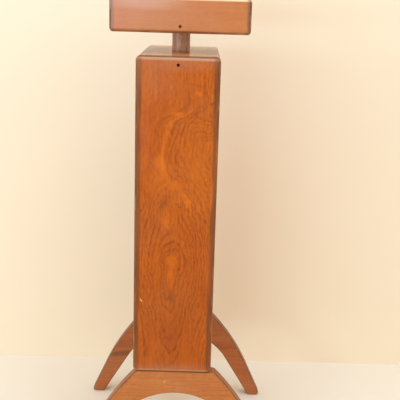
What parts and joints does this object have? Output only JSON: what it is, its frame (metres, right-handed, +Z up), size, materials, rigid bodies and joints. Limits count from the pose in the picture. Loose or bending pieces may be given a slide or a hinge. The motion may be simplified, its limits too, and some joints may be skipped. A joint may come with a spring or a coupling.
{
  "type": "trumpet stand",
  "caption": "Wooden floor stand: a rounded block head with a felt seat swivels on a round sliding post in a tall closed box column, which stands on arched foot boards at front and back.",
  "frame": {"origin": "on the floor, under the middle of the column", "axes": "+X to the right of somebody facing the front, +Y to the back, +Z up"},
  "size_m": [0.2871, 0.24, 0.6615],
  "materials": {
    "column_wood": "glossy orange-brown varnish over stained plywood",
    "arch_wood": "glossy reddish-brown varnish",
    "head_wood": "glossy orange-brown varnish",
    "post_wood": "satin varnished dowel, paler than the column and mostly in the head's shade",
    "bare_wood": "bare sawn wood",
    "steel": "dull steel",
    "brass": "plain brass",
    "felt": "dark green wool felt"
  },
  "bodies": {
    "stand": {"front_arch": "arch_wood", "back_arch": "arch_wood", "arch_dowels": "bare_wood", "arch_screws": "steel", "front_panel": "column_wood", "back_panel": "column_wood", "left_side_panel": "column_wood", "right_side_panel": "column_wood", "top_board": "column_wood", "bottom_board": "column_wood", "corner_strip_front_left": "bare_wood", "corner_strip_front_right": "bare_wood", "corner_strip_back_left": "bare_wood", "corner_strip_back_right": "bare_wood", "guide_block": "bare_wood", "guide_block_screws": "steel", "brake_felt": "felt", "guide_shelf": "bare_wood", "shelf_cleat_left": "bare_wood", "shelf_cleat_right": "bare_wood", "shelf_screws": "steel", "cleat_screws": "steel"},
    "lift": {"post": "post_wood", "thrust_disc": "brass"},
    "head": {"head_block": "head_wood", "head_pin": "steel", "bell_seat_felt": "felt"},
    "pin": {"lock_pin": "steel"}
  },
  "joints": [
    {"name": "post_lift", "type": "slide", "parent": "stand", "child": "lift", "axis": [0, 0, 1], "range_m": [0, 0.12]},
    {"name": "head_turn", "type": "hinge", "parent": "lift", "child": "head", "pos_m": [0, 0, 0.638], "axis": [0, 0, 1], "continuous": true},
    {"name": "lock_pin_draw", "type": "slide", "parent": "stand", "child": "pin", "axis": [0, -1, 0], "range_m": [0, 0.03]}
  ]
}
